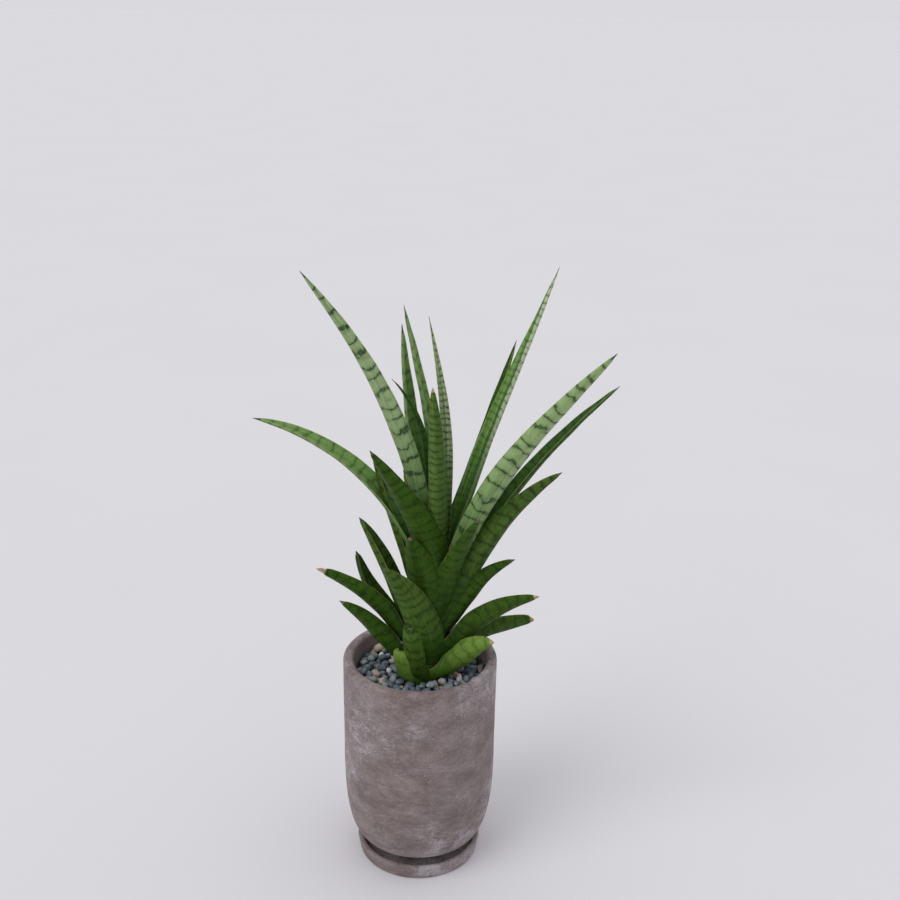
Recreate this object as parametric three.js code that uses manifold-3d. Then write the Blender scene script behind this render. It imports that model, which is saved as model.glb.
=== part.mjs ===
// A snake plant with arching banded leaves, standing in a clay-grey pot on a low saucer.
// Millimetres, +Z up. The origin is the centre of the saucer's underside, and -Y is the front.
import * as THREE from "three";
import { mergeVertices } from "three/addons/utils/BufferGeometryUtils.js";
import Module from "manifold-3d";

const wasm = await Module();
wasm.setup();

// --- driving sizes ---------------------------------------------------------------------------
const GAP = 0.3; // between neighbours that touch
const LEAF_GAP = 0.45; // between leaves where one wraps round another
const TURNED_SIDES = 40; // round pieces are turned with this many faces

const POT_RADIUS = 60;
const POT_HEIGHT = 170;
const POT_WALL = 8;
const POT_FLOOR = 10;
const POT_LIP = 3; // rounding on both edges of the rim
const POT_FOOT_RADIUS = 28;
const POT_BELLY = 89; // above its foot the wall stands straight from this height up
const POT_TURN_INSET = 12; // how far in the wall has come where it turns under to the foot
const DRAIN_RADIUS = 9;

const SAUCER_HEIGHT = 12;
const SAUCER_FLOOR = 5;
const SAUCER_WALL = 4.2;
const SAUCER_TAPER = 1.6; // its foot is this much smaller in radius than its rim
const SAUCER_EDGE = 1.6; // rounding on the saucer's edges
const SAUCER_CLEARANCE = 8.2; // between its rim and the belly of the pot

const PEBBLE_DROP = 15; // from the rim down to the bed that the pebbles stand on
const PEBBLE_BED = 7;
const PEBBLE_SIZE = 6; // radius of a pebble, long way
const PEBBLE_COUNT = 64;

const STEM_LEAN = 0.11; // sideways run for each millimetre of height
const STEM_FOOT = [3, -5]; // where the stem comes out of the pebbles
const STEM_TOP = 268;
const STEM_ROOT_DEPTH = 40; // how deep the thick root end goes under the soil's top
const STEM_RADIUS_LOW = 12;
const STEM_RADIUS_TOP = 4.5;

const ROOT_COUNT = 5;
const ROOT_REACH = 30;
const ROOT_RADIUS = 2.2;
const ROOT_FALL = 45;

const LEAF_SIDES = 8;
const LEAF_STEPS = 10;
const LEAF_THICKNESS = 3.6; // at the leaf's foot, thinning towards the tip
const LEAF_TIP = 0.8; // radius of the spine at the tip
const LEAF_CLASP = 165; // degrees of the stem that a leaf's foot wraps
const LEAF_FOLD = 140; // degrees of arc across an ordinary blade
const LEAF_SHEATH = 0.3; // share of the length over which the foot opens into the blade

// Leaves from the lowest up. azimuth: degrees round the stem, 0 to the right and -90 to the front.
// foot: height of the leaf's foot. reach, top: how far out from the stem and how high its tip is.
// rise, end: steepness at the foot and at the tip. blunt: shape of the taper, small for a blunt leaf.
// Only where they differ from the usual. turn: roll of the blade about its own length. from: azimuth
// of the foot. fold: degrees of arc across the blade. bow: how far its middle stands to one side.
const LEAVES = [
  { azimuth: -138, foot: 157, reach: 25, top: 191, width: 28, rise: 88, end: 80, blunt: 0.3, from: -150 },
  { azimuth: -112, foot: 161, reach: 28, top: 215, width: 19, rise: 80, end: 84, blunt: 0.15, fold: 160 },
  { azimuth: -26, foot: 162, reach: 58, top: 203, width: 26, rise: 50, end: 17, turn: -65, blunt: 0.5 },
  { azimuth: 80, foot: 166, reach: 62, top: 215, width: 22, rise: 65, end: 25, blunt: 0.5 },
  { azimuth: -165, foot: 169, reach: 67, top: 233, width: 23, rise: 57, end: 38, turn: 50, blunt: 0.6 },
  { azimuth: 12, foot: 172, reach: 87, top: 199, width: 30, rise: 50, end: 2, turn: -45, blunt: 0.45 },
  { azimuth: -15, foot: 178, reach: 86, top: 240, width: 27, rise: 60, end: 20, turn: -50, blunt: 0.55 },
  {
    azimuth: -122, foot: 177, reach: 60, top: 276, width: 31,
    rise: 76, end: 45, turn: 10, blunt: 0.6, from: -85,
  },
  { azimuth: -176, foot: 182, reach: 84, top: 254, width: 24, rise: 67, end: 24, turn: 45, blunt: 0.5 },
  { azimuth: 105, foot: 182, reach: 60, top: 245, width: 22, rise: 70, end: 35, blunt: 0.6 },
  { azimuth: 157, foot: 185, reach: 61, top: 255, width: 22, rise: 50, end: 78, blunt: 0.55 },
  { azimuth: 60, foot: 190, reach: 50, top: 258, width: 21, rise: 75, end: 45, blunt: 0.6 },
  { azimuth: -10, foot: 196, reach: 64, top: 265, width: 24, rise: 68, end: 28, turn: -50, blunt: 0.6 },
  { azimuth: 169, foot: 196, reach: 55, top: 289, width: 27, rise: 70, end: 58, blunt: 0.6 },
  { azimuth: 39, foot: 199, reach: 54, top: 241, width: 22, rise: 60, end: 30, blunt: 0.6 },
  { azimuth: -10, foot: 202, reach: 95, top: 337, width: 26, rise: 73, end: 38, turn: -55, blunt: 0.6 },
  { azimuth: -116, foot: 206, reach: 38, top: 293, width: 34, rise: 84, end: 64, blunt: 0.6, from: -100 },
  { azimuth: -55, foot: 208, reach: 57, top: 313, width: 26, rise: 84, end: 56, blunt: 0.62 },
  { azimuth: 95, foot: 210, reach: 45, top: 310, width: 22, rise: 80, end: 55, blunt: 0.6 },
  {
    azimuth: -143, foot: 214, reach: 57, top: 359, width: 29,
    rise: 80, end: 60, turn: 15, blunt: 0.6, from: -80, bow: -6,
  },
  { azimuth: 163, foot: 219, reach: 48, top: 336, width: 20, rise: 78, end: 74, turn: 10, blunt: 0.6 },
  { azimuth: -30, foot: 223, reach: 135, top: 440, width: 24, rise: 80, end: 50, turn: -40, blunt: 0.62 },
  { azimuth: 165, foot: 227, reach: 143, top: 358, width: 20, rise: 91, end: 5, turn: -20, blunt: 0.6 },
  { azimuth: 15, foot: 231, reach: 142, top: 386, width: 20, rise: 62, end: 37, blunt: 0.62 },
  { azimuth: -98, foot: 234, reach: 30, top: 404, width: 18, rise: 85, end: 86, blunt: 0.5, bow: -3 },
  { azimuth: 130, foot: 238, reach: 40, top: 320, width: 18, rise: 80, end: 60, blunt: 0.6 },
  { azimuth: 75, foot: 243, reach: 38, top: 292, width: 16, rise: 80, end: 60, blunt: 0.6 },
  { azimuth: 43, foot: 247, reach: 79, top: 416, width: 16, rise: 72, end: 66, blunt: 0.65 },
  { azimuth: 180, foot: 251, reach: 35, top: 401, width: 11, rise: 88, end: 48, turn: 40, blunt: 0.65 },
  { azimuth: 143, foot: 254, reach: 36, top: 436, width: 20, rise: 78, end: 88, blunt: 0.65, bow: 3 },
  { azimuth: -150, foot: 257, reach: 108, top: 489, width: 20, rise: 83, end: 52, turn: 35, blunt: 0.65 },
  { azimuth: 30, foot: 260, reach: 99, top: 473, width: 21, rise: 75, end: 66, blunt: 0.8, fold: 120 },
  { azimuth: 108, foot: 263, reach: 33, top: 439, width: 14, rise: 84, end: 84, blunt: 0.8, bow: 10 },
  { azimuth: 157, foot: 266, reach: 31, top: 452, width: 17, rise: 96, end: 80, blunt: 0.65, bow: 5 },
];

// --- sizes that follow ---------------------------------------------------------------------
const POT_FOOT_Z = SAUCER_FLOOR; // the pot stands on the saucer's floor
const RIM_Z = POT_FOOT_Z + POT_HEIGHT;
const POT_FLOOR_Z = POT_FOOT_Z + POT_FLOOR;
const POT_BORE = POT_RADIUS - POT_WALL;
const BED_Z = RIM_Z - PEBBLE_DROP - PEBBLE_BED;
const SOIL_TOP_Z = BED_Z - GAP;
const STEM_BOTTOM = SOIL_TOP_Z - STEM_ROOT_DEPTH;

// --- materials -----------------------------------------------------------------------------
const plain = (color, roughness) => new THREE.MeshStandardMaterial({ color, roughness, metalness: 0 });
const CLAY = plain(0x877a77, 0.85);
const EARTH = plain(0x3a2c22, 0.95);
const GRAVEL = plain(0x66707a, 0.6);
const STALK = plain(0x6e8f45, 0.6);
const ROOT = plain(0xc9a777, 0.8);
const LEAF = plain(0x3f6f2c, 0.5);

// --- solids --------------------------------------------------------------------------------
// A closed three.js geometry as a solid for joining and cutting.
function solidOf(geometry) {
  geometry.deleteAttribute("normal");
  geometry.deleteAttribute("uv");
  const merged = mergeVertices(geometry, 1e-4);
  const vertProperties = new Float32Array(merged.attributes.position.array);
  const triVerts = new Uint32Array(merged.index.array);
  return new wasm.Manifold(new wasm.Mesh({ numProp: 3, vertProperties, triVerts }));
}

function geometryOf(solid) {
  const { vertProperties, triVerts, numProp } = solid.getMesh();
  const geometry = new THREE.BufferGeometry();
  const vertices = new THREE.InterleavedBuffer(vertProperties, numProp);
  geometry.setAttribute("position", new THREE.InterleavedBufferAttribute(vertices, 3, 0));
  geometry.setIndex(new THREE.BufferAttribute(triVerts, 1));
  const flat = geometry.toNonIndexed();
  flat.computeVertexNormals();
  return flat;
}

const largestOf = (solid) => solid.decompose().reduce((a, b) => (b.volume() > a.volume() ? b : a));

const plant = new THREE.Group();
function place(name, solid, material) {
  const mesh = new THREE.Mesh(geometryOf(solid), material);
  mesh.name = name;
  plant.add(mesh);
}

// Turns a closed outline of [radius, height] points about the upright axis.
function turned(outline) {
  const points = outline.map(([r, z]) => new THREE.Vector2(r, z));
  return solidOf(new THREE.LatheGeometry(points, TURNED_SIDES).rotateX(Math.PI / 2));
}

// Points of an arc in the outline, angles in degrees from the outward direction.
function arc(r, z, radius, from, to, steps = 3) {
  return Array.from({ length: steps + 1 }, (_, i) => {
    const angle = THREE.MathUtils.degToRad(from + ((to - from) * i) / steps);
    return [r + radius * Math.cos(angle), z + radius * Math.sin(angle)];
  });
}

// The side of the pot's body from its foot up: it turns out from the foot, then stands straight.
function bellyPoints(radius, footRadius, footZ) {
  const straightZ = POT_FOOT_Z + POT_BELLY;
  const height = straightZ - footZ;
  const curve = new THREE.CubicBezierCurve(
    new THREE.Vector2(radius - POT_TURN_INSET, footZ + 0.17 * height),
    new THREE.Vector2(radius - 0.4 * POT_TURN_INSET, footZ + 0.25 * height),
    new THREE.Vector2(radius, footZ + 0.43 * height),
    new THREE.Vector2(radius, straightZ),
  );
  return [[footRadius, footZ], ...curve.getPoints(7).map((p) => [p.x, p.y])];
}

const belly = bellyPoints(POT_RADIUS, POT_FOOT_RADIUS, POT_FOOT_Z);

function bellyRadiusAt(z) {
  const next = belly.findIndex((point) => point[1] >= z);
  const [lower, upper] = belly.slice(next - 1, next + 1);
  return THREE.MathUtils.mapLinear(z, lower[1], upper[1], lower[0], upper[0]);
}

// --- saucer ---------------------------------------------------------------------------------
function saucerSolid() {
  const bore = bellyRadiusAt(SAUCER_HEIGHT) + SAUCER_CLEARANCE;
  const radius = bore + SAUCER_WALL;
  const foot = radius - SAUCER_TAPER;
  const edge = SAUCER_EDGE;
  return turned([
    [0, 0],
    ...arc(foot - edge, edge, edge, -90, -10),
    ...arc(radius - edge, SAUCER_HEIGHT - edge, edge, 0, 90),
    ...arc(bore + edge, SAUCER_HEIGHT - edge, edge, 90, 180),
    [bore - SAUCER_TAPER, SAUCER_FLOOR],
    [0, SAUCER_FLOOR],
  ]);
}

// --- pot ------------------------------------------------------------------------------------
function potSolid() {
  const inside = bellyPoints(POT_BORE, POT_FOOT_RADIUS - POT_WALL, POT_FLOOR_Z);
  const lipZ = RIM_Z - POT_LIP;
  return turned([
    [DRAIN_RADIUS, POT_FOOT_Z],
    ...belly,
    ...arc(POT_RADIUS - POT_LIP, lipZ, POT_LIP, 0, 90),
    ...arc(POT_BORE + POT_LIP, lipZ, POT_LIP, 90, 180),
    ...inside.reverse(),
    [DRAIN_RADIUS, POT_FLOOR_Z],
    [DRAIN_RADIUS, POT_FOOT_Z],
  ]);
}

// --- stem and roots ---------------------------------------------------------------------------
// The stem's axis leans a little to the right as it rises.
function stemAxis(z) {
  const emerges = RIM_Z - PEBBLE_DROP;
  return new THREE.Vector3(STEM_FOOT[0] + STEM_LEAN * (z - emerges), STEM_FOOT[1], z);
}

function stemRadius(z) {
  const share = THREE.MathUtils.clamp((z - BED_Z) / (STEM_TOP - BED_Z), 0, 1);
  return THREE.MathUtils.lerp(STEM_RADIUS_LOW, STEM_RADIUS_TOP, share);
}

// A round bar bent along a curve: radiusAt gives its radius at each share of the length.
function bentBar(curve, radiusAt, sides, steps, grow = 0) {
  const geometry = new THREE.CylinderGeometry(1, 1, 1, sides, steps);
  const frames = curve.computeFrenetFrames(steps);
  const position = geometry.attributes.position;
  for (let i = 0; i < position.count; i += 1) {
    const share = position.getY(i) + 0.5;
    const step = Math.round(share * steps);
    const radius = radiusAt(share) + grow;
    const point = curve.getPointAt(share);
    point.addScaledVector(frames.normals[step], position.getZ(i) * radius);
    point.addScaledVector(frames.binormals[step], position.getX(i) * radius);
    position.setXYZ(i, point.x, point.y, point.z);
  }
  return solidOf(geometry);
}

function stemSolid(grow = 0) {
  const curve = new THREE.LineCurve3(stemAxis(STEM_BOTTOM), stemAxis(STEM_TOP));
  const heightAt = (share) => THREE.MathUtils.lerp(STEM_BOTTOM, STEM_TOP, share);
  return bentBar(curve, (share) => stemRadius(heightAt(share)), 12, 8, grow);
}

// Roots leave the thick root end sideways and sink, thinning to their tips.
function rootSolid(index, grow = 0) {
  const angle = ((index + 0.3) * 2 * Math.PI) / ROOT_COUNT;
  const out = new THREE.Vector3(Math.cos(angle), Math.sin(angle), 0);
  const startZ = STEM_BOTTOM + 8 + 5 * (index % 3);
  const start = stemAxis(startZ).addScaledVector(out, STEM_RADIUS_LOW - 1);
  const bend = start.clone().addScaledVector(out, 0.7 * ROOT_REACH);
  const tip = start.clone().addScaledVector(out, ROOT_REACH);
  bend.z -= 0.2 * ROOT_FALL;
  tip.z -= ROOT_FALL;
  const curve = new THREE.QuadraticBezierCurve3(start, bend, tip);
  return bentBar(curve, (share) => ROOT_RADIUS * (1 - 0.75 * share), 6, 7, grow);
}

// --- leaves ---------------------------------------------------------------------------------
// The way out from the stem at an azimuth in degrees.
function outward(azimuth) {
  const angle = THREE.MathUtils.degToRad(azimuth);
  return new THREE.Vector3(Math.cos(angle), Math.sin(angle), 0);
}

// The line that a leaf follows from the stem to its tip.
function leafLine(leaf) {
  const axis = stemAxis(leaf.foot);
  const footOut = outward(leaf.from ?? leaf.azimuth);
  const tipOut = outward(leaf.azimuth);
  const from = axis.clone().addScaledVector(footOut, stemRadius(leaf.foot) + GAP + LEAF_THICKNESS);
  const to = axis.clone().addScaledVector(tipOut, leaf.reach);
  to.z = leaf.top;
  const pull = 0.38 * from.distanceTo(to);
  const heading = (out, degrees) => {
    const steep = THREE.MathUtils.degToRad(degrees);
    return out.clone().multiplyScalar(Math.cos(steep)).setZ(Math.sin(steep));
  };
  const first = from.clone().addScaledVector(heading(footOut, leaf.rise), pull);
  const last = to.clone().addScaledVector(heading(tipOut, leaf.end), -pull);
  return new THREE.CubicBezierCurve3(from, first, last, to);
}

// A leaf is a round bar pressed into a trough. It wraps the stem at its foot and ends in a spine.
function leafSolid(leaf, grow = 0) {
  const line = leafLine(leaf);
  const claspRadius = stemRadius(leaf.foot) + GAP + LEAF_THICKNESS;
  const clasp = THREE.MathUtils.degToRad(LEAF_CLASP);
  const fold = THREE.MathUtils.degToRad(leaf.fold ?? LEAF_FOLD);
  const bladeRadius = leaf.width / (2 * Math.sin(fold / 2));
  const roll = THREE.MathUtils.degToRad(leaf.turn ?? 0);
  const geometry = new THREE.CylinderGeometry(1, 1, 1, LEAF_SIDES, LEAF_STEPS);
  const position = geometry.attributes.position;
  for (let i = 0; i < position.count; i += 1) {
    const share = Math.pow(position.getY(i) + 0.5, 0.9);
    const free = THREE.MathUtils.smoothstep(share, 0, LEAF_SHEATH);
    const taper = Math.sin((Math.PI / 2) * Math.pow(1 - share, leaf.blunt));
    const arcAcross = THREE.MathUtils.lerp(clasp, fold, free);
    const arcRadius = Math.max(THREE.MathUtils.lerp(claspRadius, bladeRadius, free) * taper, LEAF_TIP);
    const halfThick = Math.min(0.5 * LEAF_THICKNESS * (1 - 0.25 * free), 0.45 * arcRadius);
    const across = position.getX(i) * (0.5 * arcAcross + grow / arcRadius);
    const distance = arcRadius - halfThick - position.getZ(i) * (halfThick + grow);
    const sink = 0.5 * free * arcRadius * (1 - Math.cos(arcAcross / 2));
    const tangent = line.getTangentAt(share);
    const rolled = roll * THREE.MathUtils.smoothstep(share, 0.05, 0.5);
    const azimuth = THREE.MathUtils.lerp(leaf.from ?? leaf.azimuth, leaf.azimuth, share);
    const side = outward(azimuth - 90).projectOnPlane(tangent).normalize();
    const lateral = side.clone().applyAxisAngle(tangent, rolled);
    const inward = lateral.clone().cross(tangent);
    const point = line.getPointAt(share);
    point.addScaledVector(side, (leaf.bow ?? 0) * Math.sin(Math.PI * share));
    point.addScaledVector(lateral, distance * Math.sin(across));
    point.addScaledVector(inward, arcRadius - sink - distance * Math.cos(across));
    position.setXYZ(i, point.x, point.y, point.z);
  }
  return solidOf(geometry);
}

// --- the plant, from its core out ---------------------------------------------------------------
place("saucer", saucerSolid(), CLAY);
place("pot", potSolid(), CLAY);

const stem = stemSolid();
const stemRoom = stemSolid(GAP);
place("stem", stem, STALK);

// An upper leaf keeps its shape, and each lower one is trimmed where it wraps round those above.
const taken = [stemRoom];
const leafNames = LEAVES.map((_, i) => "leaf_" + String(i + 1).padStart(2, "0"));
for (let i = LEAVES.length - 1; i >= 0; i -= 1) {
  const trimmed = largestOf(taken.reduce((solid, room) => solid.subtract(room), leafSolid(LEAVES[i])));
  place(leafNames[i], trimmed, LEAF);
  taken.push(leafSolid(LEAVES[i], LEAF_GAP));
}

for (let i = 0; i < ROOT_COUNT; i += 1) {
  const root = largestOf(rootSolid(i).subtract(stemRoom));
  place("root_" + (i + 1), root, ROOT);
  taken.push(rootSolid(i, GAP));
}

// --- soil and pebbles -----------------------------------------------------------------------------
function soilSolid() {
  const inside = bellyPoints(POT_BORE - GAP, POT_FOOT_RADIUS - POT_WALL - GAP, POT_FLOOR_Z + GAP);
  return turned([[0, POT_FLOOR_Z + GAP], ...inside, [POT_BORE - GAP, SOIL_TOP_Z], [0, SOIL_TOP_Z]]);
}

// Pebbles stand on their bed in a sunflower spiral, each a flattened stone turned its own way.
function pebbleLayerSolid() {
  const bedTop = BED_Z + PEBBLE_BED;
  let layer = turned([[0, BED_Z], [POT_BORE - GAP, BED_Z], [POT_BORE - GAP, bedTop], [0, bedTop]]);
  const spread = POT_BORE - PEBBLE_SIZE - 2 * GAP;
  for (let i = 0; i < PEBBLE_COUNT; i += 1) {
    const angle = i * 2.39996;
    const radius = spread * Math.sqrt((i + 0.5) / PEBBLE_COUNT);
    const stone = new THREE.IcosahedronGeometry(1, 0);
    stone.scale(PEBBLE_SIZE, 0.75 * PEBBLE_SIZE, 0.6 * PEBBLE_SIZE).rotateZ(i * 1.7);
    stone.translate(radius * Math.cos(angle), radius * Math.sin(angle), bedTop - 0.3 + 0.4 * (i % 3));
    layer = layer.add(solidOf(stone));
  }
  return layer;
}

const cutAll = (solid) => largestOf(taken.reduce((left, room) => left.subtract(room), solid));
place("soil", cutAll(soilSolid()), EARTH);
place("pebble_layer", cutAll(pebbleLayerSolid()), GRAVEL);

export default plant;
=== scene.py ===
import math
import random

import bpy
from mathutils import Euler, Matrix, Vector, noise
from mathutils.bvhtree import BVHTree
from mathutils.geometry import interpolate_bezier


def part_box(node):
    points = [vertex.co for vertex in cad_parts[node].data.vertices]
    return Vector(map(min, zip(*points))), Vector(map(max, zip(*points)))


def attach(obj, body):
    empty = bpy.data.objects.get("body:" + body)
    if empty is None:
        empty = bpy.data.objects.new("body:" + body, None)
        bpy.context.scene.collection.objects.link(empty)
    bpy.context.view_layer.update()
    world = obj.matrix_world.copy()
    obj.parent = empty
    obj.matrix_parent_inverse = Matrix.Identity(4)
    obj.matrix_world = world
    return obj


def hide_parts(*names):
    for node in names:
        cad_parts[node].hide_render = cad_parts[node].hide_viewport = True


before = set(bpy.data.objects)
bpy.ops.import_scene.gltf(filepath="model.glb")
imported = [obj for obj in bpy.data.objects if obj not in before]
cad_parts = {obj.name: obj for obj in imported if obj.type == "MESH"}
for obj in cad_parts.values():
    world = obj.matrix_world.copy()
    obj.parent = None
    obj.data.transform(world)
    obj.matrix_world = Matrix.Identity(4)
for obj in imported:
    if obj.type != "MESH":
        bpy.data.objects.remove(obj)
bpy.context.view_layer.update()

MM = 0.001

# --- saucer -------------------------------------------------------------------------------
# A shallow round dish of pressed, unglazed clay that stands flat on the table. Its wall flares a
# little and its edges are rubbed round. The pot's foot stands loose on its floor.
saucer_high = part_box("saucer")[1]
pot_low, pot_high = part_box("pot")
SAUCER_WALL = 4.2 * MM
SAUCER_TAPER = 1.6 * MM
SAUCER_EDGE = 1.6 * MM


def arc(centre, radius, start, end, steps):
    """Points of a rounded edge, angles in degrees from the outward direction."""
    turns = [math.radians(start + (end - start) * i / steps) for i in range(steps + 1)]
    return [(centre[0] + radius * math.cos(a), centre[1] + radius * math.sin(a)) for a in turns]


def spaced(outline, step):
    """The same outline with points no further apart than step."""
    points = [outline[0]]
    for (r0, z0), (r1, z1) in zip(outline, outline[1:]):
        count = max(1, math.ceil(math.hypot(r1 - r0, z1 - z0) / step))
        for i in range(1, count + 1):
            points.append((r0 + (r1 - r0) * i / count, z0 + (z1 - z0) * i / count))
    return points


def draw_up(name, outline, sides):
    """Pulls a ring of clay through an outline of (radius, height), as on a potter's wheel."""
    bpy.ops.object.select_all(action="DESELECT")
    radius, height = outline[0]
    bpy.ops.mesh.primitive_circle_add(vertices=sides, radius=radius, location=(0, 0, height))
    piece = bpy.context.object
    piece.name = name
    bpy.ops.object.transform_apply(location=True, rotation=True, scale=True)
    bpy.ops.object.mode_set(mode="EDIT")
    bpy.ops.mesh.select_all(action="SELECT")
    for next_radius, next_height in outline[1:]:
        rise = (0, 0, next_height - height)
        bpy.ops.mesh.extrude_edges_move(TRANSFORM_OT_translate={"value": rise})
        widen = next_radius / radius
        bpy.ops.transform.resize(value=(widen, widen, 1), center_override=(0, 0, next_height))
        radius, height = next_radius, next_height
    bpy.ops.mesh.select_all(action="SELECT")
    bpy.ops.mesh.remove_doubles(threshold=0.01 * MM)
    bpy.ops.mesh.fill_holes(sides=0)
    bpy.ops.mesh.normals_make_consistent(inside=False)
    bpy.ops.object.mode_set(mode="OBJECT")
    return piece


def apply_all(piece):
    """Applies the modifiers of a piece in their order."""
    bpy.context.view_layer.objects.active = piece
    for modifier in list(piece.modifiers):
        bpy.ops.object.modifier_apply(modifier=modifier.name)


def wobble(piece, width, depth):
    """Presses soft unevenness of that width and depth into a piece."""
    relief = bpy.data.textures.new("unevenness", "CLOUDS")
    relief.noise_scale = width
    modifier = piece.modifiers.new("unevenness", "DISPLACE")
    modifier.texture = relief
    modifier.texture_coords = "LOCAL"
    modifier.strength = depth
    modifier.mid_level = 0.5
    apply_all(piece)


def colour(red, green, blue):
    """A colour given 0 to 255, as the shader wants it."""
    parts = [c / 255 for c in (red, green, blue)]
    return (*[c / 12.92 if c <= 0.04045 else ((c + 0.055) / 1.055) ** 2.4 for c in parts], 1)


class Wire:
    """One socket of a finish. Arithmetic on it adds Math nodes."""

    def __init__(self, finish, socket):
        self.finish = finish
        self.socket = socket

    def work(self, operation, *values):
        return self.finish.node("Math", {"operation": operation}, dict(enumerate(values)))

    def __add__(self, other):
        return self.work("ADD", self, other)

    __radd__ = __add__

    def __sub__(self, other):
        return self.work("SUBTRACT", self, other)

    def __rsub__(self, other):
        return self.work("SUBTRACT", other, self)

    def __mul__(self, other):
        return self.work("MULTIPLY", self, other)

    __rmul__ = __mul__

    def __truediv__(self, other):
        return self.work("DIVIDE", self, other)

    def __abs__(self):
        return self.work("ABSOLUTE", self)

    def __mod__(self, other):
        return self.work("FLOORED_MODULO", self, other)

    def between(self, low, high):
        """0 below low, 1 above high, smooth between."""
        settings = {"interpolation_type": "SMOOTHSTEP"}
        inputs = {"Value": self, "From Min": low, "From Max": high}
        return self.finish.node("MapRange", settings, inputs)


class Finish:
    """A material with its pattern made by nodes. Keywords set the shader's own sockets."""

    def __init__(self, name, **sockets):
        self.material = bpy.data.materials.new(name)
        self.material.use_nodes = True
        self.tree = self.material.node_tree
        self.shader = self.tree.nodes["Principled BSDF"]
        for label, value in sockets.items():
            self.shader.inputs[label.replace("_", " ")].default_value = value

    def node(self, kind, settings, inputs, output=0):
        node = self.tree.nodes.new("ShaderNode" + kind)
        for name, value in settings.items():
            if name == "stops":
                self.set_stops(node.color_ramp, value)
            else:
                setattr(node, name, value)
        for name, value in inputs.items():
            if isinstance(value, Wire):
                self.tree.links.new(value.socket, node.inputs[name])
            else:
                node.inputs[name].default_value = value
        return Wire(self, node.outputs[output])

    def set_stops(self, ramp, stops):
        while len(ramp.elements) < len(stops):
            ramp.elements.new(1)
        for element, (position, tint) in zip(ramp.elements, stops):
            element.position = position
            element.color = tint

    def here(self):
        return self.node("TexCoord", {}, {}, "Object")

    def stretched(self, vector, factors):
        return self.node("VectorMath", {"operation": "MULTIPLY"}, {0: vector, 1: factors})

    def clouds(self, vector, scale, detail=3, roughness=0.55):
        inputs = {"Vector": vector, "Scale": scale, "Detail": detail, "Roughness": roughness}
        return self.node("TexNoise", {}, inputs)

    def mix(self, share, first, second):
        return self.node("Mix", {"data_type": "RGBA"}, {0: share, 6: first, 7: second}, 2)

    def wear(self, sockets, height=None, depth=0):
        """Feeds the shader's sockets, and raises the surface by height over depth metres."""
        for label, wire in sockets.items():
            self.tree.links.new(wire.socket, self.shader.inputs[label])
        if height is not None:
            inputs = {"Strength": 1, "Distance": depth, "Height": height}
            normal = self.node("Bump", {}, inputs, "Normal")
            self.tree.links.new(normal.socket, self.shader.inputs["Normal"])


def washed_clay(name, wash):
    """Grey-brown clay with lime rubbed into it, brushed round and specked with grit."""
    clay = Finish(name, Specular_IOR_Level=0.2, Sheen_Weight=0.08, Sheen_Roughness=0.6)
    here = clay.here()
    body = clay.clouds(clay.stretched(here, (1, 1, 1.8)), 34, 12, 0.84)
    cloud = clay.clouds(clay.stretched(here, (1, 1, 1.4)), 60, 12, 0.85)
    patch = clay.clouds(here, 15, 3)
    brushed = clay.clouds(clay.stretched(here, (1, 1, 6)), 110, 8, 0.82)
    turned = clay.clouds(clay.stretched(here, (0.8, 0.8, 11)), 130, 6, 0.75)
    slant = clay.clouds(clay.stretched(here, (2, 1, 5)), 230, 4, 0.68)
    fine = clay.clouds(clay.stretched(here, (1, 2, 7)), 330, 3, 0.65)
    grain = clay.clouds(here, 900, 5, 0.8)
    chalk = cloud.between(0.47, 0.58) * patch.between(0.5, 0.62) * wash
    streaks = brushed.between(0.53, 0.62) * patch.between(0.44, 0.6) * wash
    scratches = slant.between(0.58, 0.64) * cloud.between(0.44, 0.54) * patch.between(0.4, 0.6)
    hairlines = fine.between(0.61, 0.66) * patch.between(0.46, 0.58)
    scratches = scratches.work("MAXIMUM", scratches, hairlines)
    cell = clay.node("TexVoronoi", {"feature": "F1"}, {"Vector": here, "Scale": 330}, "Distance")
    pick = clay.clouds(here, 90, 2)
    grit = (1 - cell.between(0.06, 0.3)) * pick.between(0.57, 0.66)
    tone = clay.mix(body.between(0.38, 0.62), colour(114, 100, 98), colour(151, 137, 136))
    tone = clay.mix(turned.between(0.5, 0.62) * 0.34, tone, colour(92, 80, 79))
    tone = clay.mix(chalk * 0.72, tone, colour(188, 184, 190))
    tone = clay.mix(streaks * 0.55, tone, colour(190, 184, 187))
    tone = clay.mix(scratches * 0.68, tone, colour(214, 209, 212))
    tone = clay.mix(grit * 0.45, tone, colour(214, 208, 207))
    tone = clay.mix(grain.between(0.42, 0.62) * 0.4, tone, colour(88, 78, 78))
    rough = 0.84 + 0.12 * chalk
    height = grain * 0.6 + brushed * 0.45 + grit * 0.3 - scratches * 0.3 - turned * 0.2
    clay.wear({"Base Color": tone, "Roughness": rough}, height, 0.35 * MM)
    return clay.material


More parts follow.
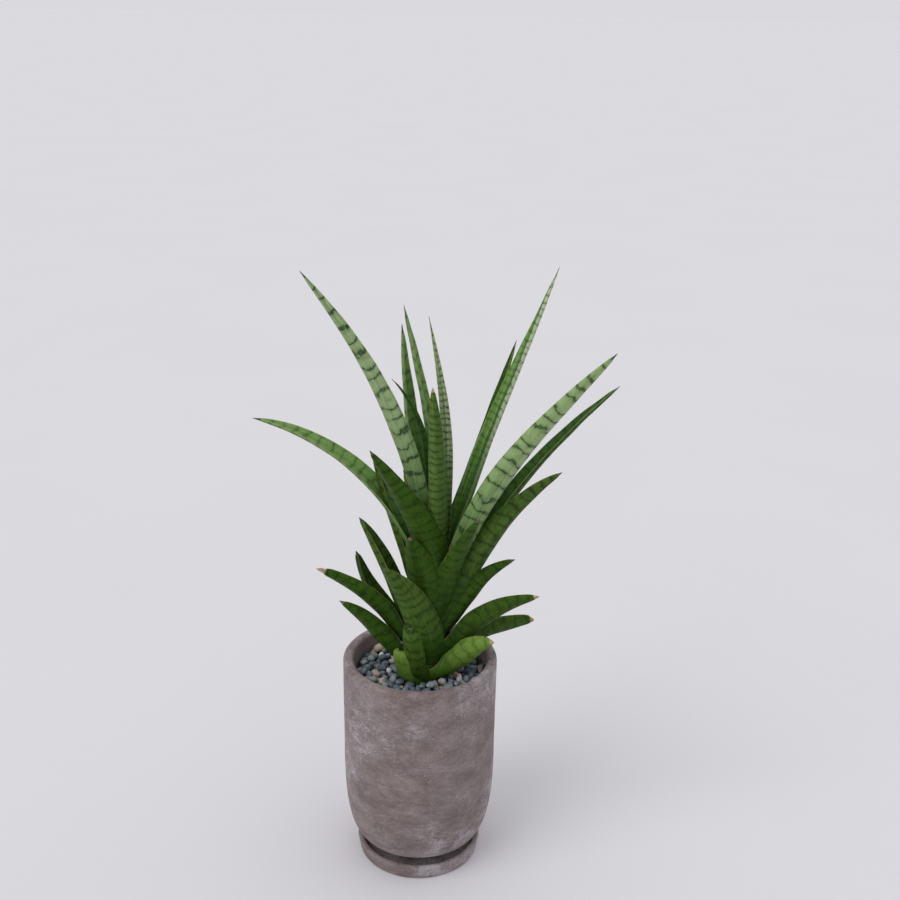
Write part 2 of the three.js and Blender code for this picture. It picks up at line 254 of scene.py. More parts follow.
saucer_radius = saucer_high.x
saucer_top = saucer_high.z
saucer_floor = pot_low.z
saucer_bore = saucer_radius - SAUCER_WALL
saucer_foot = saucer_radius - SAUCER_TAPER
saucer_outline = [
    (1 * MM, 0),
    *arc((saucer_foot - SAUCER_EDGE, SAUCER_EDGE), SAUCER_EDGE, -90, -10, 4),
    *arc((saucer_radius - SAUCER_EDGE, saucer_top - SAUCER_EDGE), SAUCER_EDGE, 0, 90, 5),
    *arc((saucer_bore + SAUCER_EDGE, saucer_top - SAUCER_EDGE), SAUCER_EDGE, 90, 180, 5),
    (saucer_bore - SAUCER_TAPER, saucer_floor + 0.8 * MM),
    (saucer_bore - SAUCER_TAPER - 0.8 * MM, saucer_floor - 0.1 * MM),
    (1 * MM, saucer_floor - 0.1 * MM),
]
dish = draw_up("clay_saucer", spaced(saucer_outline, 3 * MM), 128)
wobble(dish, 28 * MM, 0.35 * MM)
for vertex in dish.data.vertices:
    vertex.co.z = max(vertex.co.z, 0)
bpy.ops.object.shade_smooth_by_angle(angle=math.radians(50))
dish.data.materials.append(washed_clay("washed clay of the saucer", 0.9))
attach(dish, "root")
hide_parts("saucer")

# --- pot ----------------------------------------------------------------------------------
# A tall thick-walled pot of the same clay, washed with lime and rubbed down. Its wall turns under
# to a narrow foot, its lip is round, and its floor has a drain hole.
POT_WALL = 8 * MM
POT_FLOOR = 10 * MM
POT_LIP = 3 * MM
POT_FOOT = 28 * MM
POT_BELLY = 89 * MM
POT_TURN_INSET = 12 * MM
DRAIN_HOLE = 9 * MM


def belly(radius, foot, foot_height):
    """The wall from its foot up to where it stands straight."""
    straight = pot_low.z + POT_BELLY
    rise = straight - foot_height
    turn = Vector((radius - POT_TURN_INSET, foot_height + 0.17 * rise, 0))
    first = Vector((radius - 0.4 * POT_TURN_INSET, foot_height + 0.25 * rise, 0))
    second = Vector((radius, foot_height + 0.43 * rise, 0))
    end = Vector((radius, straight, 0))
    under = [
        (foot, foot_height),
        (turn.x - 2 * MM, turn.y - 1.35 * MM),
        (turn.x - 0.7 * MM, turn.y - 0.4 * MM),
    ]
    wall = interpolate_bezier(turn, first, second, end, 22)
    return under + [(p.x, p.y) for p in wall[1:]]


pot_radius = pot_high.x
pot_bore = pot_radius - POT_WALL
pot_floor = pot_low.z + POT_FLOOR
lip_centre = pot_high.z - POT_LIP
pot_outline = [
    (DRAIN_HOLE, pot_low.z),
    (POT_FOOT - 1.2 * MM, pot_low.z),
    (POT_FOOT - 0.3 * MM, pot_low.z + 0.3 * MM),
    *belly(pot_radius, POT_FOOT, pot_low.z)[1:],
    *arc((pot_radius - POT_LIP, lip_centre), POT_LIP, 0, 90, 7),
    *arc((pot_bore + POT_LIP, lip_centre), POT_LIP, 90, 180, 7),
    *belly(pot_bore, POT_FOOT - POT_WALL, pot_floor)[::-1],
    (DRAIN_HOLE, pot_floor),
    (DRAIN_HOLE, pot_low.z),
]
pot = draw_up("clay_pot", spaced(pot_outline, 3.5 * MM), 144)
wobble(pot, 45 * MM, 0.7 * MM)
wobble(pot, 9 * MM, 0.16 * MM)
bpy.ops.object.shade_smooth_by_angle(angle=math.radians(50))
pot.data.materials.append(washed_clay("washed clay of the pot", 1.0))
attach(pot, "root")
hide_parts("pot")

# --- soil ---------------------------------------------------------------------------------
# Damp dark potting soil fills the pot up to the gravel. Only specks of it show between stones.
earth = Finish("potting soil", Roughness=0.95, Specular_IOR_Level=0.2)
lumps = earth.clouds(earth.here(), 240, 6, 0.7)
crumbs = earth.clouds(earth.here(), 900, 3, 0.6)
earth_tone = earth.mix(lumps.between(0.35, 0.65), colour(34, 25, 19), colour(74, 56, 42))
earth_tone = earth.mix(crumbs.between(0.62, 0.7) * 0.5, earth_tone, colour(128, 108, 84))
earth.wear({"Base Color": earth_tone}, lumps + crumbs * 0.5, 1.5 * MM)
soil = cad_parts["soil"]
soil.data.materials.clear()
soil.data.materials.append(earth.material)

# --- stem and roots -----------------------------------------------------------------------
# The short leaning stem that carries every leaf, pale green where the leaves clasp it. Below the
# gravel it is a thick root end, and its roots sink into the soil.
stalk = Finish("stem skin", Roughness=0.55, Specular_IOR_Level=0.35)
rings = stalk.clouds(stalk.stretched(stalk.here(), (1, 1, 5)), 60, 4, 0.6)
fibres = stalk.clouds(stalk.stretched(stalk.here(), (6, 6, 1)), 120, 3, 0.6)
stalk_tone = stalk.mix(rings.between(0.4, 0.62), colour(88, 118, 52), colour(150, 160, 96))
stalk_tone = stalk.mix(fibres.between(0.5, 0.7) * 0.4, stalk_tone, colour(120, 96, 60))
stalk.wear({"Base Color": stalk_tone}, rings * 0.6 + fibres * 0.4, 0.6 * MM)
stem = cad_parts["stem"]
stem.data.materials.clear()
stem.data.materials.append(stalk.material)

bark = Finish("root skin", Roughness=0.8, Specular_IOR_Level=0.25)
wrinkles = bark.clouds(bark.stretched(bark.here(), (1, 1, 3)), 260, 4, 0.65)
bark_tone = bark.mix(wrinkles.between(0.38, 0.62), colour(150, 112, 70), colour(214, 184, 142))
bark.wear({"Base Color": bark_tone}, wrinkles, 0.5 * MM)
for name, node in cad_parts.items():
    if name.startswith("root_"):
        node.data.materials.clear()
        node.data.materials.append(bark.material)

# --- leaves -------------------------------------------------------------------------------
# Thick, stiff leaves in a spiral up the stem. Each clasps it with a sheath, opens into a
# channelled blade and ends in a dry spine. The upper ones are long, pale and banded, the lower
# ones deep green.
STEM_FOOT = Vector((3 * MM, -5 * MM, 160 * MM))
STEM_LEAN = 0.11
STEM_LOW = 153 * MM
STEM_TOP = 268 * MM
STEM_RADIUS_LOW = 12 * MM
STEM_RADIUS_TOP = 4.5 * MM
LEAF_SEAT = 0.3 * MM
LEAF_THICKNESS = 3.6 * MM
LEAF_CLASP = math.radians(165)
LEAF_FOLD = 140
LEAF_SHEATH = 0.3
LEAF_ROUND = 36
LEAF_LONG = 64
LEAF_PULL = 0.38  # how far a leaf holds its first and last heading, as a share of its span
LEAF_SAMPLES = 600
LEAF_SPINE_RADIUS = 0.35 * MM
LEAF_BLADE_THIN = 0.25  # how much thinner the blade is than the sheath
LEAF_TIP_SHRINK = 0.25  # how much a dried tip shrinks
LEAF_KEEL = 0.12
LEAF_RIPPLE = 0.45 * MM

# Each row gives, in degrees: azimuth, the way the tip points, 0 to the right and -90 to the front;
# origin, the way the foot faces if that differs; rise and end, how steep the leaf is at foot and
# tip; turn, how far the blade rolls; fold, how far round the trough goes. In millimetres: foot,
# its height; reach and top, how far out and how high the tip is; width of the blade; bow, how far
# it leans sideways; dry, the length of the dried tip, a dark spine unless straw is set. blunt
# shapes the taper.
LEAVES = [
    dict(azimuth=-138, foot=157, reach=25, top=191, width=28, rise=88, end=80, blunt=0.3,
         origin=-150, skin="fresh", dry=0.05),
    dict(azimuth=-112, foot=161, reach=28, top=215, width=19, rise=80, end=84, blunt=0.15,
         fold=160, skin="green", dry=0.05),
    dict(azimuth=-26, foot=162, reach=58, top=203, width=26, rise=50, end=17, blunt=0.5,
         turn=-65, skin="fresh", dry=3, straw=True),
    dict(azimuth=80, foot=166, reach=62, top=215, width=22, rise=65, end=25, blunt=0.5,
         skin="deep", dry=4),
    dict(azimuth=-165, foot=169, reach=67, top=233, width=23, rise=57, end=38, blunt=0.6,
         turn=50, skin="deep", dry=4),
    dict(azimuth=12, foot=172, reach=87, top=199, width=30, rise=50, end=2, blunt=0.45,
         turn=-45, skin="deep", dry=4, straw=True),
    dict(azimuth=-15, foot=178, reach=86, top=240, width=27, rise=60, end=20, blunt=0.55,
         turn=-50, skin="deep", dry=4, straw=True),
    dict(azimuth=-122, foot=177, reach=60, top=276, width=31, rise=76, end=45, blunt=0.6,
         turn=10, origin=-85, skin="green", dry=2),
    dict(azimuth=-176, foot=182, reach=84, top=254, width=24, rise=67, end=24, blunt=0.5,
         turn=45, skin="deep", dry=7, straw=True),
    dict(azimuth=105, foot=182, reach=60, top=245, width=22, rise=70, end=35, blunt=0.6,
         skin="deep", dry=4),
    dict(azimuth=157, foot=185, reach=61, top=255, width=22, rise=50, end=78, blunt=0.55,
         skin="deep", dry=3),
    dict(azimuth=60, foot=190, reach=50, top=258, width=21, rise=75, end=45, blunt=0.6,
         skin="deep", dry=4),
    dict(azimuth=-10, foot=196, reach=64, top=265, width=24, rise=68, end=28, blunt=0.6,
         turn=-50, skin="deep", dry=3),
    dict(azimuth=169, foot=196, reach=55, top=289, width=27, rise=70, end=58, blunt=0.6,
         skin="green", dry=3),
    dict(azimuth=39, foot=199, reach=54, top=241, width=22, rise=60, end=30, blunt=0.6,
         skin="deep", dry=4),
    dict(azimuth=-10, foot=202, reach=95, top=337, width=26, rise=73, end=38, blunt=0.6,
         turn=-55, skin="green", dry=4),
    dict(azimuth=-116, foot=206, reach=38, top=293, width=34, rise=84, end=64, blunt=0.6,
         origin=-100, skin="deep", dry=3),
    dict(azimuth=-55, foot=208, reach=57, top=313, width=26, rise=84, end=56, blunt=0.62,
         skin="deep", dry=4),
    dict(azimuth=95, foot=210, reach=45, top=310, width=22, rise=80, end=55, blunt=0.6,
         skin="green", dry=4),
    dict(azimuth=-143, foot=214, reach=57, top=359, width=29, rise=80, end=60, blunt=0.6,
         turn=15, origin=-80, bow=-6, skin="deep", dry=4),
    dict(azimuth=163, foot=219, reach=48, top=336, width=20, rise=78, end=74, blunt=0.6,
         turn=10, skin="green", dry=3),
    dict(azimuth=-30, foot=223, reach=135, top=440, width=24, rise=80, end=50, blunt=0.62,
         turn=-40, skin="pale", dry=5),
    dict(azimuth=165, foot=227, reach=143, top=358, width=20, rise=91, end=5, blunt=0.6,
         turn=-20, skin="light", dry=7),
    dict(azimuth=15, foot=231, reach=142, top=386, width=20, rise=62, end=37, blunt=0.62,
         skin="dark", dry=6),
    dict(azimuth=-98, foot=234, reach=30, top=404, width=18, rise=85, end=86, blunt=0.5,
         bow=-3, skin="ribbed", dry=3, straw=True),
    dict(azimuth=130, foot=238, reach=40, top=320, width=18, rise=80, end=60, blunt=0.6,
         skin="green", dry=4),
    dict(azimuth=75, foot=243, reach=38, top=292, width=16, rise=80, end=60, blunt=0.6,
         skin="green", dry=4),
    dict(azimuth=43, foot=247, reach=79, top=416, width=16, rise=72, end=66, blunt=0.65,
         skin="dark", dry=3),
    dict(azimuth=180, foot=251, reach=35, top=401, width=11, rise=88, end=48, blunt=0.65,
         turn=40, skin="dark", dry=3),
    dict(azimuth=143, foot=254, reach=36, top=436, width=20, rise=78, end=88, blunt=0.65,
         bow=3, skin="light", dry=7),
    dict(azimuth=-150, foot=257, reach=108, top=489, width=20, rise=83, end=52, blunt=0.65,
         turn=35, skin="pale", dry=7),
    dict(azimuth=30, foot=260, reach=99, top=473, width=21, rise=75, end=66, blunt=0.8,
         fold=120, skin="split", dry=8),
    dict(azimuth=108, foot=263, reach=33, top=439, width=14, rise=84, end=84, blunt=0.8,
         bow=10, skin="speckled", dry=8),
    dict(azimuth=157, foot=266, reach=31, top=452, width=17, rise=96, end=80, blunt=0.65,
         bow=5, skin="light", dry=7),
]


def leaf_skin(name, foot, blade, flank, band, spacing, strength, marble, channel_shadow, shine):
    """Waxy skin with ragged cross bands, marbling, fine lengthwise veins, a thin pale margin,
    grooves with painted highlight and shade, and a painted shadow down the channel.
    """
    skin = Finish(name, Specular_IOR_Level=shine, Subsurface_Weight=0.06, Subsurface_Scale=1.5 * MM)
    skin.shader.inputs["Subsurface Radius"].default_value = (0.6, 1, 0.25)
    grown = skin.node("Attribute", {"attribute_name": "grown"}, {}, "Vector")
    part = skin.node("Attribute", {"attribute_name": "part"}, {}, "Vector")
    dried = skin.node("Attribute", {"attribute_name": "dried"}, {}, "Fac")
    strawy = skin.node("Attribute", {"attribute_name": "straw"}, {}, "Fac")
    along = skin.node("SeparateXYZ", {}, {0: grown}, "Y")
    across = skin.node("SeparateXYZ", {}, {0: part}, "X")
    share = skin.node("SeparateXYZ", {}, {0: part}, "Y")
    face = skin.node("SeparateXYZ", {}, {0: part}, "Z")
    edge = abs(across)
    teeth = skin.clouds(skin.stretched(grown, (1500, 60, 1)), 1, 4, 0.7)
    ragged = skin.clouds(skin.stretched(grown, (420, 90, 1)), 1, 4, 0.65)
    sway = skin.clouds(skin.stretched(grown, (60, 60, 1)), 1, 2)
    patchy = skin.clouds(skin.stretched(grown, (150, 130, 1)), 1, 3, 0.6)
    veins = skin.clouds(skin.stretched(grown, (2600, 22, 1)), 1, 3, 0.6)
    dashes = skin.clouds(skin.stretched(grown, (1300, 260, 1)), 1, 3, 0.6)
    mottle = skin.clouds(skin.stretched(grown, (330, 200, 1)), 1, 5, 0.7)
    grooves_with_painted_light = skin.clouds(skin.stretched(grown, (620, 9, 1)), 1, 4, 0.6)
    place = along + (teeth - 0.5) * (3.4 * MM) + (ragged - 0.5) * (2.6 * MM)
    place = place + (sway - 0.5) * (1.8 * spacing)
    swing = abs((place / spacing) % 1 - 0.5) * 2
    width = 0.23 + (patchy - 0.5) * 0.7
    main = (swing + width).between(0.94, 1.12)
    thin_swing = abs((place / (0.37 * spacing)) % 1 - 0.5) * 2
    thin = (thin_swing + dashes * 0.5).between(1.08, 1.26) * mottle.between(0.48, 0.62) * 0.4
    halo = (swing + width).between(0.5, 1.1) * 0.34
    marks = main.work("MAXIMUM", main, thin)
    marks = marks.work("MAXIMUM", marks, halo) * (0.62 + 0.9 * (dashes - 0.2))
    marks = marks * strength
    ground = skin.mix(across.between(-0.15, 0.25) * share.between(0.15, 0.45), blade, flank)
    ground = skin.mix(share.between(0.08, 0.62), foot, ground)
    ground = skin.mix(mottle.between(0.44, 0.62) * marble, ground, band)
    tone = skin.mix(marks.work("MINIMUM", marks, 1), ground, band)
    tone = skin.mix(veins.between(0.52, 0.7) * 0.2, tone, band)
    tone = skin.mix((1 - veins.between(0.3, 0.46)) * 0.2, tone, flank)
    # Painted light along the grooves: the ridges are painted lighter as a highlight and the hollows
    # darker as shade. The same noise also gives the real relief of the bump.
    tone = skin.mix(grooves_with_painted_light.between(0.54, 0.66) * 0.4, tone, flank)
    tone = skin.mix((1 - grooves_with_painted_light.between(0.34, 0.46)) * 0.3, tone, band)
    # Painted shadow: a dark line down the middle of the channel side, where the crease would lie in
    # shade.
    painted_channel_shadow = (1 - edge.between(0.02, 0.3)) * face.between(0.1, 0.6) * channel_shadow
    tone = skin.mix(painted_channel_shadow, tone, band)
    rim = edge.between(0.95, 0.995) * (0.1 + 0.7 * patchy)
    tone = skin.mix(rim, tone, colour(158, 154, 108))
    straw = skin.mix(dashes.between(0.35, 0.65), colour(134, 104, 70), colour(196, 178, 142))
    spine = skin.mix(dashes.between(0.35, 0.65), colour(58, 50, 44), colour(122, 110, 96))
    withered = (dried + (ragged - 0.5) * 0.6).between(0.36, 0.84)
    tone = skin.mix(withered, tone, skin.mix(strawy, spine, straw))
    rough = 0.4 + 0.14 * patchy + withered * 0.3
    height = veins * 0.6 + grooves_with_painted_light * 1.6 + marks * 0.15 + mottle * 0.3 + withered * dashes
    skin.wear({"Base Color": tone, "Roughness": rough}, height, 0.25 * MM)
    return skin.material


# In each row the last but one number sets how dark the painted shadow down the channel is.
skins = {
    "pale": leaf_skin(
        "pale banded skin",
        colour(84, 122, 46), colour(156, 178, 128), colour(146, 172, 114), colour(36, 68, 30),
        11.5 * MM, 1.0, 0.16, 0, 0.16,
    ),
    "light": leaf_skin(
        "light green skin",
        colour(66, 106, 30), colour(120, 149, 88), colour(110, 144, 76), colour(42, 80, 28),
        10 * MM, 0.8, 0.2, 0.3, 0.16,
    ),
    "split": leaf_skin(
        "two-toned skin",
        colour(66, 108, 30), colour(100, 140, 58), colour(178, 194, 156), colour(40, 80, 28),
        6 * MM, 0.85, 0.2, 0.85, 0.15,
    ),
    "speckled": leaf_skin(
        "speckled skin",
        colour(78, 114, 46), colour(140, 162, 108), colour(166, 182, 142), colour(40, 74, 34),
        4.8 * MM, 1.2, 0.3, 0.5, 0.15,
    ),
    "ribbed": leaf_skin(
        "mid green skin with pale sides",
        colour(46, 74, 14), colour(72, 100, 36), colour(92, 120, 54), colour(32, 56, 14),
        5.4 * MM, 0.95, 0.25, 0.4, 0.14,
    ),
    "green": leaf_skin(
        "mid green skin",
        colour(42, 74, 10), colour(70, 98, 28), colour(78, 106, 38), colour(26, 48, 10),
        9 * MM, 0.85, 0.4, 0.3, 0.12,
    ),
    "deep": leaf_skin(
        "deep green skin",
        colour(34, 64, 6), colour(52, 84, 12), colour(60, 90, 20), colour(22, 42, 5),
        8 * MM, 0.7, 0.45, 0.35, 0.1,
    ),
    "dark": leaf_skin(
        "dark green skin",
        colour(32, 64, 12), colour(50, 86, 26), colour(58, 92, 30), colour(22, 48, 12),
        8 * MM, 0.75, 0.4, 0.4, 0.1,
    ),
    "fresh": leaf_skin(
        "bright green skin",
        colour(56, 90, 16), colour(100, 132, 50), colour(112, 142, 60), colour(46, 78, 18),
        9 * MM, 0.6, 0.25, 0.3, 0.14,
    ),
}


def outward(azimuth):
    """The way out from the stem at an azimuth in degrees."""
    return Vector((math.cos(math.radians(azimuth)), math.sin(math.radians(azimuth)), 0))


def stem_axis(height):
    return STEM_FOOT + Vector((STEM_LEAN * (height - STEM_FOOT.z), 0, height - STEM_FOOT.z))


def stem_radius(height):
    share = min(max((height - STEM_LOW) / (STEM_TOP - STEM_LOW), 0), 1)
    return STEM_RADIUS_LOW + (STEM_RADIUS_TOP - STEM_RADIUS_LOW) * share


def eased(value, low, high):
    share = min(max((value - low) / (high - low), 0), 1)
    return share * share * (3 - 2 * share)


def blended(first, second, share):
    return first + (second - first) * share


def leaf_line(leaf):
    """Points evenly spaced along the line that a leaf follows from the stem to its tip."""
    foot = leaf["foot"] * MM
    foot_out = outward(leaf.get("origin", leaf["azimuth"]))
    tip_out = outward(leaf["azimuth"])
    start = stem_axis(foot) + foot_out * (stem_radius(foot) + LEAF_SEAT + LEAF_THICKNESS)
    end = stem_axis(foot) + tip_out * (leaf["reach"] * MM)
    end.z = leaf["top"] * MM
    pull = LEAF_PULL * (end - start).length
    rise = math.radians(leaf["rise"])
    fall = math.radians(leaf["end"])
    first = start + (foot_out * math.cos(rise) + Vector((0, 0, math.sin(rise)))) * pull
    second = end - (tip_out * math.cos(fall) + Vector((0, 0, math.sin(fall)))) * pull
    points = interpolate_bezier(start, first, second, end, LEAF_SAMPLES)
    runs = [0]
    for a, b in zip(points, points[1:]):
        runs.append(runs[-1] + (b - a).length)
    even = []
    k = 0
    for i in range(LEAF_LONG + 1):
        want = runs[-1] * i / LEAF_LONG
        while k < len(runs) - 2 and runs[k + 1] < want:
            k += 1
        local = (want - runs[k]) / (runs[k + 1] - runs[k])
        heading = (points[k + 1] - points[k]).normalized()
        even.append((points[k].lerp(points[k + 1], local), heading))
    return even, runs[-1]


# The blank: a round bar with even rings along its length, which every leaf is pressed from.
bpy.ops.object.select_all(action="DESELECT")
bpy.ops.mesh.primitive_cylinder_add(vertices=LEAF_ROUND, radius=1, depth=1)
blank = bpy.context.object
blank.name = "leaf_blank"
bpy.ops.object.mode_set(mode="EDIT")
bpy.ops.mesh.select_mode(type="EDGE")
bpy.ops.mesh.select_all(action="DESELECT")
bpy.ops.object.mode_set(mode="OBJECT")
for side in blank.data.edges:
    a, b = (blank.data.vertices[v].co for v in side.vertices)
    side.select = abs(a.z - b.z) > 0.5
bpy.ops.object.mode_set(mode="EDIT")
bpy.ops.mesh.subdivide(number_cuts=LEAF_LONG - 1)
bpy.ops.object.mode_set(mode="OBJECT")


def press_leaf(number, leaf):
    """Presses a copy of the blank into a trough along the leaf's line."""
    line, length = leaf_line(leaf)
    foot = leaf["foot"] * MM
    clasp_radius = stem_radius(foot) + LEAF_SEAT + LEAF_THICKNESS
    fold = math.radians(leaf.get("fold", LEAF_FOLD))
    blade_radius = leaf["width"] * MM / (2 * math.sin(fold / 2))
    roll = math.radians(leaf.get("turn", 0))
    origin = leaf.get("origin", leaf["azimuth"])
    dry = leaf["dry"] * MM / length
    piece = blank.copy()
    piece.data = blank.data.copy()
    piece.name = f"snake_leaf_{number:02d}"
    bpy.context.collection.objects.link(piece)
    grown, part, dried = [], [], []
    for vertex in piece.data.vertices:
        x, y, z = vertex.co
        share = z + 0.5
        middle, tangent = line[round(share * LEAF_LONG)]
        free = eased(share, 0, LEAF_SHEATH)
        taper = math.sin(math.pi / 2 * max(1 - share, 0) ** leaf["blunt"])
        arc_across = blended(LEAF_CLASP, fold, free)
        withered = eased(share, 1 - 1.3 * dry, 1 - 0.7 * dry)
        shrink = 1 - LEAF_TIP_SHRINK * withered
        arc_radius = blended(clasp_radius, blade_radius, free) * taper * shrink
        arc_radius = max(arc_radius, LEAF_SPINE_RADIUS)
        half_thick = min(0.5 * LEAF_THICKNESS * (1 - LEAF_BLADE_THIN * free), 0.45 * arc_radius)
        across = x * 0.5 * arc_across
        ripple = noise.noise(Vector((x * 2.2, share * length * 55, number * 9.1)))
        keel = 1 + LEAF_KEEL * (1 - abs(x)) * (y < 0)
        distance = arc_radius - half_thick - y * half_thick * keel
        sink = 0.5 * free * arc_radius * (1 - math.cos(arc_across / 2))
        azimuth = blended(origin, leaf["azimuth"], share)
        side = outward(azimuth - 90)
        side = (side - tangent * side.dot(tangent)).normalized()
        rolled = roll * eased(share, 0.05, 0.5)
        lateral = Matrix.Rotation(rolled, 3, tangent) @ side
        inward = lateral.cross(tangent)
        point = middle + side * (leaf.get("bow", 0) * MM * math.sin(math.pi * share))
        point += lateral * distance * math.sin(across)
        point += inward * (arc_radius - sink - distance * math.cos(across))
        point += inward * (LEAF_RIPPLE * ripple * free * (1 - withered))
        vertex.co = point
        grown += [across * arc_radius, share * length, number * 3.7 + 0.4 * (y > 0)]
        part += [x, share, y]
        dried.append(withered)
    for name, kind, field, values in (
        ("grown", "FLOAT_VECTOR", "vector", grown),
        ("part", "FLOAT_VECTOR", "vector", part),
        ("dried", "FLOAT", "value", dried),
        ("straw", "FLOAT", "value", [float("straw" in leaf)] * len(dried)),
    ):
        piece.data.attributes.new(name, kind, "POINT").data.foreach_set(field, values)
    return piece


leaf_pieces = []
for number, leaf in enumerate(LEAVES, 1):
    piece = press_leaf(number, leaf)
    bpy.ops.object.select_all(action="DESELECT")
    piece.select_set(True)
    bpy.context.view_layer.objects.active = piece
    bpy.ops.object.mode_set(mode="EDIT")
    bpy.ops.mesh.select_all(action="SELECT")
    bpy.ops.mesh.normals_make_consistent(inside=False)
    bpy.ops.object.mode_set(mode="OBJECT")
    bpy.ops.object.shade_smooth_by_angle(angle=math.radians(60))
    piece.data.materials.append(skins[leaf["skin"]])
    node_name = f"leaf_{number:02d}"
    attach(piece, "root")
    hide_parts(node_name)
    leaf_pieces.append(piece)
bpy.data.objects.remove(blank)

# --- gravel -------------------------------------------------------------------------------
# Washed river pebbles, mostly blue-grey, poured loose round the stem on top of the soil. They lie
# where they fall, up to a little below the rim.
PEBBLE_BED = 152.8 * MM
PEBBLE_TOP = 165 * MM
PEBBLE_COUNT = 760
PEBBLE_LONG = (3.1, 4.7)
PEBBLE_TRIES = 16
# Single odd stones: where they lie, in millimetres, and their place in the row of stone colours.
ODD_STONES = (
    ((6, -46), 1),
    ((24, -41), 0.93),
    ((31, -34), 0.965),
    ((-36, 30), 0.93),
    ((16, -44), 0.87),
)

shingle = Finish("river pebbles", Specular_IOR_Level=0.4)
tint = shingle.node("Attribute", {"attribute_name": "stone"}, {}, "Fac")
mottle = shingle.clouds(shingle.here(), 420, 5, 0.65)
flecks = shingle.clouds(shingle.here(), 1500, 2)
veining = shingle.clouds(shingle.here(), 170, 3, 0.6)
stone_stops = [
    (0.0, colour(58, 68, 82)),
    (0.2, colour(82, 96, 108)),
    (0.36, colour(108, 120, 126)),
    (0.5, colour(70, 82, 92)),
    (0.62, colour(138, 146, 148)),
    (0.76, colour(92, 102, 106)),
    (0.86, colour(158, 162, 158)),
    (0.93, colour(176, 156, 130)),
    (0.965, colour(164, 134, 124)),
    (0.99, colour(226, 224, 218)),
]
stone_tone = shingle.node("ValToRGB", {"stops": stone_stops}, {0: tint}, "Color")
stone_tone = shingle.mix(mottle.between(0.4, 0.7) * 0.35, stone_tone, colour(170, 174, 174))
stone_tone = shingle.mix((1 - mottle.between(0.3, 0.5)) * 0.4, stone_tone, colour(44, 48, 54))
seam = (1 - abs(veining - 0.5).between(0.005, 0.022)) * tint.between(0.3, 0.9)
stone_tone = shingle.mix(seam * 0.45, stone_tone, colour(200, 200, 196))
stone_tone = shingle.mix(flecks.between(0.62, 0.72) * 0.3, stone_tone, colour(30, 32, 36))
stone_rough = 0.45 + 0.3 * mottle
shingle.wear({"Base Color": stone_tone, "Roughness": stone_rough}, mottle + flecks * 0.3, 0.3 * MM)

random.seed(41)
bpy.ops.object.select_all(action="DESELECT")
bpy.ops.mesh.primitive_ico_sphere_add(subdivisions=2, radius=1)
pebble_blank = bpy.context.object
pebble_blank.name = "pebble_blank"
low_leaves = []
for piece in leaf_pieces[:8]:
    corners = [v.co[:] for v in piece.data.vertices]
    faces = [f.vertices[:] for f in piece.data.polygons]
    low_leaves.append(BVHTree.FromPolygons(corners, faces))
settled = []
pebble_room = pot_bore - 0.4 * MM


def resting_height(x, y, radius):
    """How high a pebble's middle ends up if it is dropped here on those already lying."""
    height = PEBBLE_BED + 0.62 * radius
    for (px, py, pz), other in settled:
        apart = math.hypot(x - px, y - py)
        reach = 0.86 * (radius + other)
        if apart < reach:
            height = max(height, pz + 0.78 * math.sqrt(reach * reach - apart * apart))
    return height


def hits_leaf(middle, radius):
    for tree in low_leaves:
        if tree.find_nearest(middle, 0.8 * radius)[0] is not None:
            return True
    return False


for _ in range(PEBBLE_COUNT):
    radius = random.uniform(*PEBBLE_LONG) * MM * random.choice((0.8, 0.9, 1, 1, 1.1))
    best = None
    for _ in range(PEBBLE_TRIES):
        angle = random.uniform(0, 2 * math.pi)
        spread = (pebble_room - 0.85 * radius) * math.sqrt(random.random())
        x, y = spread * math.cos(angle), spread * math.sin(angle)
        axis = stem_axis(160 * MM)
        if math.hypot(x - axis.x, y - axis.y) < STEM_RADIUS_LOW + 0.8 * radius:
            continue
        height = resting_height(x, y, radius)
        if best is None or height < best.z:
            best = Vector((x, y, height))
    if best is None or best.z + 0.5 * radius > PEBBLE_TOP or hits_leaf(best, radius):
        continue
    settled.append((best, radius))

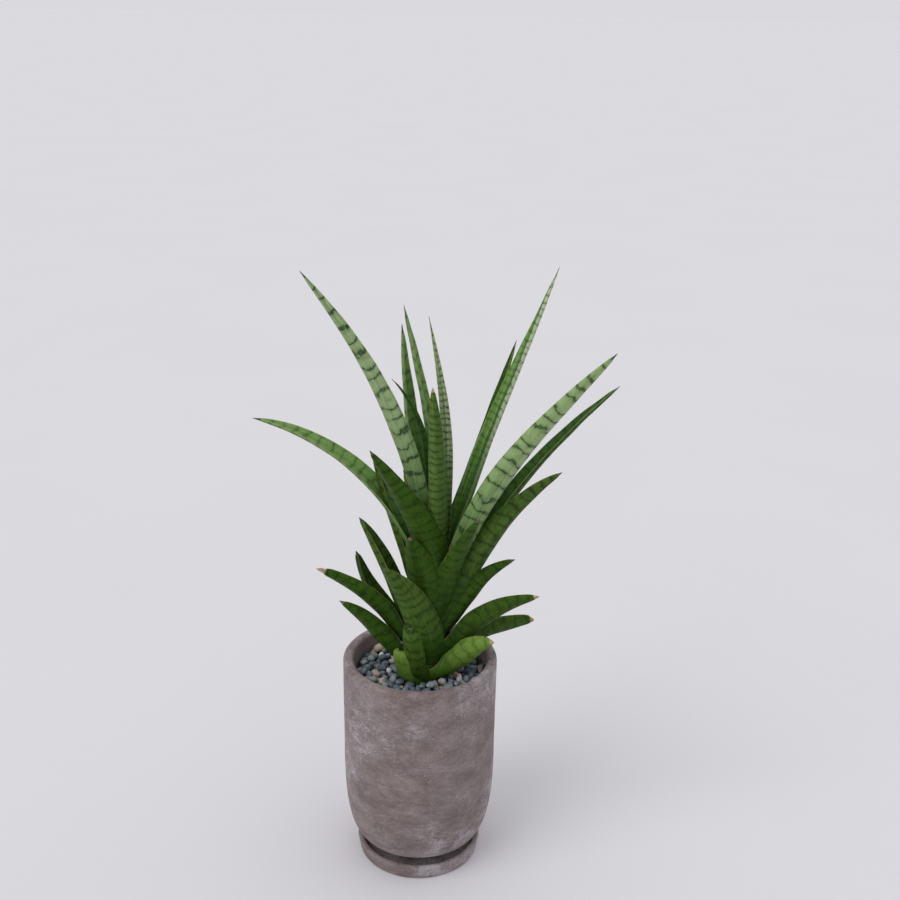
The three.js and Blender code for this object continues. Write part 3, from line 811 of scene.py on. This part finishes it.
pebbles = []
for count, (middle, radius) in enumerate(settled):
    stone = pebble_blank.copy()
    stone.data = pebble_blank.data.copy()
    bpy.context.collection.objects.link(stone)
    flat = random.uniform(0.5, 0.78)
    narrow = random.uniform(0.6, 0.92)
    tilt = Euler((random.gauss(0, 0.4), random.gauss(0, 0.4), random.uniform(0, math.pi)))
    for vertex in stone.data.vertices:
        lump = 1.04 + 0.36 * noise.noise(vertex.co * 1.1 + Vector((count * 3.3, 0, 0)))
        shaped = Vector((vertex.co.x, vertex.co.y * narrow, vertex.co.z * flat)) * (radius * lump)
        shaped.rotate(tilt)
        vertex.co = middle + shaped
    shade = stone.data.attributes.new("stone", "FLOAT", "POINT")
    value = random.random()
    for spot, own in ODD_STONES:
        if (middle.xy - Vector(spot) * MM).length < 5 * MM and middle.z > 158 * MM:
            value = own
    shade.data.foreach_set("value", [value] * len(stone.data.vertices))
    pebbles.append(stone)
bpy.data.objects.remove(pebble_blank)
bpy.ops.object.select_all(action="DESELECT")
for stone in pebbles:
    stone.select_set(True)
bpy.context.view_layer.objects.active = pebbles[0]
bpy.ops.object.join()
gravel = bpy.context.object
gravel.name = "loose_pebbles"
bpy.ops.object.shade_smooth()
gravel.data.materials.append(shingle.material)
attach(gravel, "root")
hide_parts("pebble_layer")

# --- floor, light and camera --------------------------------------------------------------
# A plain pale floor that runs on to the horizon, under soft daylight that comes from above and a
# little more from the left.
bpy.ops.object.select_all(action="DESELECT")
bpy.ops.mesh.primitive_plane_add(size=400)
floor = bpy.context.object
floor.name = "floor"
ground = Finish("pale floor", Roughness=0.95, Specular_IOR_Level=0.1)
haze = ground.clouds(ground.here(), 3, 3)
ground.wear({"Base Color": ground.mix(haze, colour(210, 209, 211), colour(214, 213, 215))})
floor.data.materials.append(ground.material)

sky = bpy.data.worlds.new("soft daylight")
sky.use_nodes = True
sky.node_tree.nodes["Background"].inputs["Color"].default_value = colour(250, 250, 255)
sky.node_tree.nodes["Background"].inputs["Strength"].default_value = 0.73
bpy.context.scene.world = sky


def soft_light(name, aim_from, spread, strength):
    lamp = bpy.data.lights.new(name, "SUN")
    lamp.angle = math.radians(spread)
    lamp.energy = strength
    body = bpy.data.objects.new(name, lamp)
    body.location = aim_from
    body.rotation_euler = (-Vector(aim_from)).to_track_quat("-Z", "Y").to_euler()
    bpy.context.collection.objects.link(body)


soft_light("window", (-1.2, -1.0, 1.7), 36, 1.0)
soft_light("overhead", (0.5, 0.2, 2.2), 70, 0.45)

lens = bpy.data.cameras.new("camera")
lens.lens = 48
lens.sensor_width = 36
camera = bpy.data.objects.new("camera", lens)
camera.location = (0, -0.8268, 0.6483)
camera.rotation_euler = [math.radians(a) for a in (69.897, -0.939, -1.076)]
bpy.context.collection.objects.link(camera)
bpy.context.scene.camera = camera
bpy.context.scene.view_settings.view_transform = "Standard"
